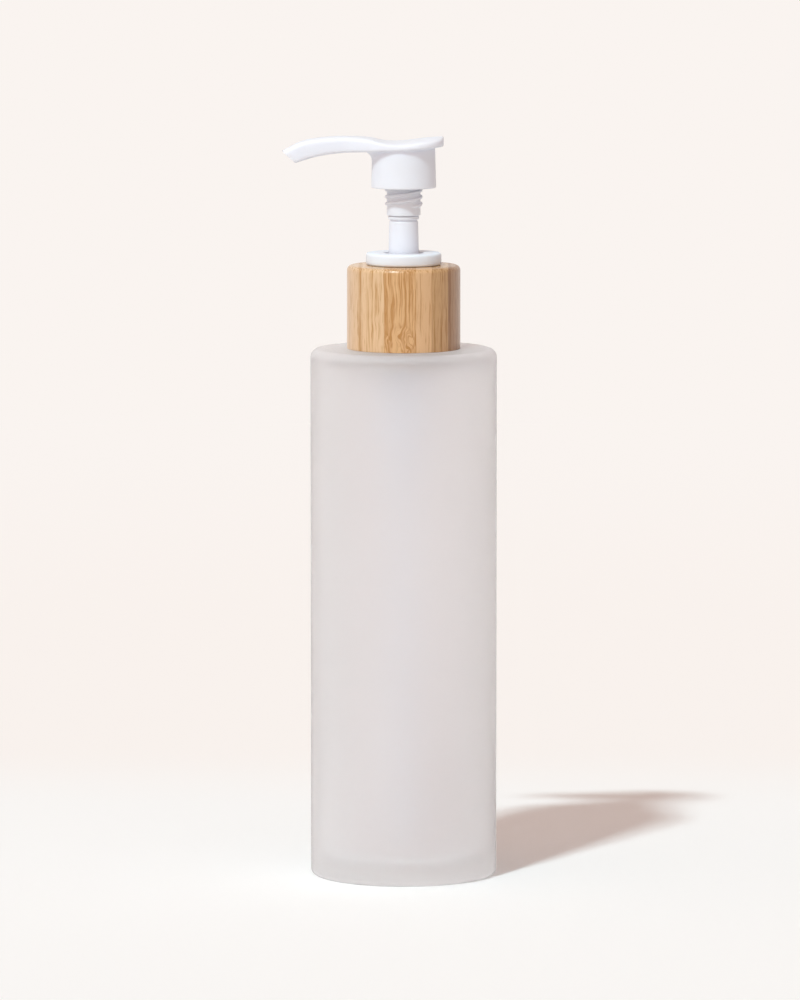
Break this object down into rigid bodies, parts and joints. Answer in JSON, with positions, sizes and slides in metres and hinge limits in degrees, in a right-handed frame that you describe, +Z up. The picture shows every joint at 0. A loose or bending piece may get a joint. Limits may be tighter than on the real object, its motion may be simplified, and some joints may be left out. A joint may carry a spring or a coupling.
{
  "type": "lotion bottle",
  "caption": "Straight frosted glass bottle with a flat shoulder, a bamboo-covered screw closure and a spring-loaded press pump with a swivelling nozzle head.",
  "frame": {"origin": "middle of the base, on the surface that the bottle stands on", "axes": "+Z up along the axis of the bottle and pump; the nozzle points along -X; metres"},
  "size_m": [0.0575, 0.05, 0.1992],
  "materials": {
    "frosted_glass": "frosted outside, nearly opaque, soft sheen",
    "bamboo": "laminated bamboo strips, turned, clear satin lacquer",
    "white_plastic": "moulded polypropylene, semi-gloss",
    "natural_plastic": "unpigmented moulded polypropylene, milky",
    "soft_plastic": "soft polyethylene, waxy",
    "steel": "bright stainless wire and ball"
  },
  "bodies": {
    "bottle": {"glass_bottle": "frosted_glass"},
    "seat": {"neck_gasket": "soft_plastic"},
    "pump": {"pump_housing": "natural_plastic", "lock_ring": "white_plastic", "dip_tube": "natural_plastic", "return_spring": "steel"},
    "closure": {"screw_closure": "natural_plastic", "bamboo_collar": "bamboo"},
    "plunger": {"pump_stem": "white_plastic", "piston_rod": "natural_plastic"},
    "actuator": {"actuator_head": "white_plastic"},
    "seal": {"piston": "soft_plastic"},
    "inlet_ball": {"check_ball": "steel"}
  },
  "joints": [
    {"name": "pump_lift_out", "type": "slide", "parent": "bottle", "child": "seat", "axis": [0, 0, 1], "range_m": [0, 0.16]},
    {"name": "pump_rise", "type": "slide", "parent": "seat", "child": "pump", "axis": [0, 0, 1], "range_m": [0, 0.00476]},
    {"name": "closure_turn", "type": "hinge", "parent": "pump", "child": "closure", "pos_m": [0, 0, 0.162], "axis": [0, 0, 1], "range_deg": [0, 540]},
    {"name": "press_stroke", "type": "slide", "parent": "pump", "child": "plunger", "axis": [0, 0, -1], "range_m": [0, 0.0125], "stiffness_N_per_m": 900, "springref_m": -0.007, "deforming": ["return_spring"]},
    {"name": "head_swivel", "type": "hinge", "parent": "plunger", "child": "actuator", "pos_m": [0, 0, 0.178], "axis": [0, 0, 1], "continuous": true},
    {"name": "piston_lag", "type": "slide", "parent": "plunger", "child": "seal", "axis": [0, 0, 1], "range_m": [0, 0.0012]},
    {"name": "ball_lift", "type": "slide", "parent": "pump", "child": "inlet_ball", "axis": [0, 0, 1], "range_m": [0, 0.0015]}
  ],
  "couplings": [
    {"joint": "closure_turn", "follows": "pump_rise", "rad_per_m": 1979}
  ]
}
